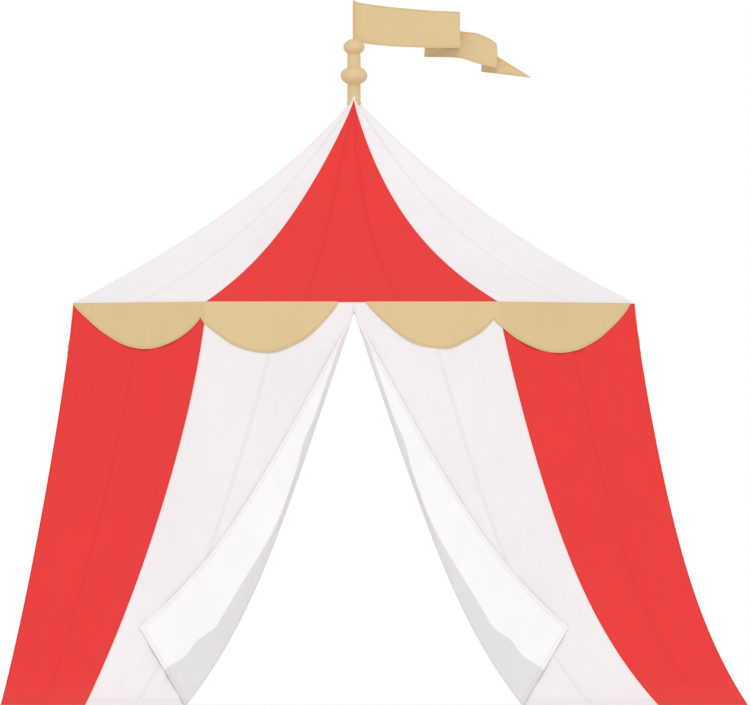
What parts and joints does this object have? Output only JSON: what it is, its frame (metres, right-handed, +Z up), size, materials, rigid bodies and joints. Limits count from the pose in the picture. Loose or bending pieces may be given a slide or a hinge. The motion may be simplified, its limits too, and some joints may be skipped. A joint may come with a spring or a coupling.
{
  "type": "circus big top tent",
  "caption": "Small octagonal circus big top with a gored red and white roof, flared walls, scalloped gold valance, open entrance and a flagged finial mast.",
  "frame": {"origin": "on the ground, in the middle of the tent's box", "axes": "+Z up, +X along the front from left to right, the front entrance facing -Y; the mast stands 0.203 m to the left of the origin"},
  "size_m": [7.4434, 7.3794, 7.096],
  "materials": {
    "red_canvas": "matt coated canvas",
    "white_canvas": "matt coated canvas, faintly warm white",
    "flap_lining": "smooth bright lining cloth",
    "gold_cloth": "matt gold cloth",
    "gilt_paint": "satin gold paint",
    "frame_metal": "mill finish tube, lightly brushed"
  },
  "bodies": {
    "root": {"roof_gore_front": "red_canvas", "roof_gore_front_right": "white_canvas", "roof_gore_right": "red_canvas", "roof_gore_back_right": "white_canvas", "roof_gore_back": "red_canvas", "roof_gore_back_left": "white_canvas", "roof_gore_left": "red_canvas", "roof_gore_front_left": "white_canvas", "wall_front_right": "red_canvas", "wall_back_right": "red_canvas", "wall_back_left": "red_canvas", "wall_front_left": "red_canvas", "wall_right": "white_canvas", "wall_left": "white_canvas", "wall_front_left_half": "white_canvas", "wall_front_right_half": "white_canvas", "wall_back_left_half": "white_canvas", "wall_back_right_half": "white_canvas", "door_flap_front_left": "flap_lining", "door_flap_front_right": "flap_lining", "door_flap_back_left": "flap_lining", "door_flap_back_right": "flap_lining", "valance_front_left_corner": "gold_cloth", "valance_front_left": "gold_cloth", "valance_front_right": "gold_cloth", "valance_front_right_corner": "gold_cloth", "valance_right": "gold_cloth", "valance_back_right_corner": "gold_cloth", "valance_back_right": "gold_cloth", "valance_back_left": "gold_cloth", "valance_back_left_corner": "gold_cloth", "valance_left": "gold_cloth", "eave_ring": "frame_metal", "leg_front_left": "frame_metal", "leg_front_right": "frame_metal", "leg_right_front": "frame_metal", "leg_right_back": "frame_metal", "leg_back_right": "frame_metal", "leg_back_left": "frame_metal", "leg_left_back": "frame_metal", "leg_left_front": "frame_metal", "cross_beams": "frame_metal", "king_post": "frame_metal", "finial_mast": "gilt_paint", "streamer": "gold_cloth"}
  },
  "joints": []
}
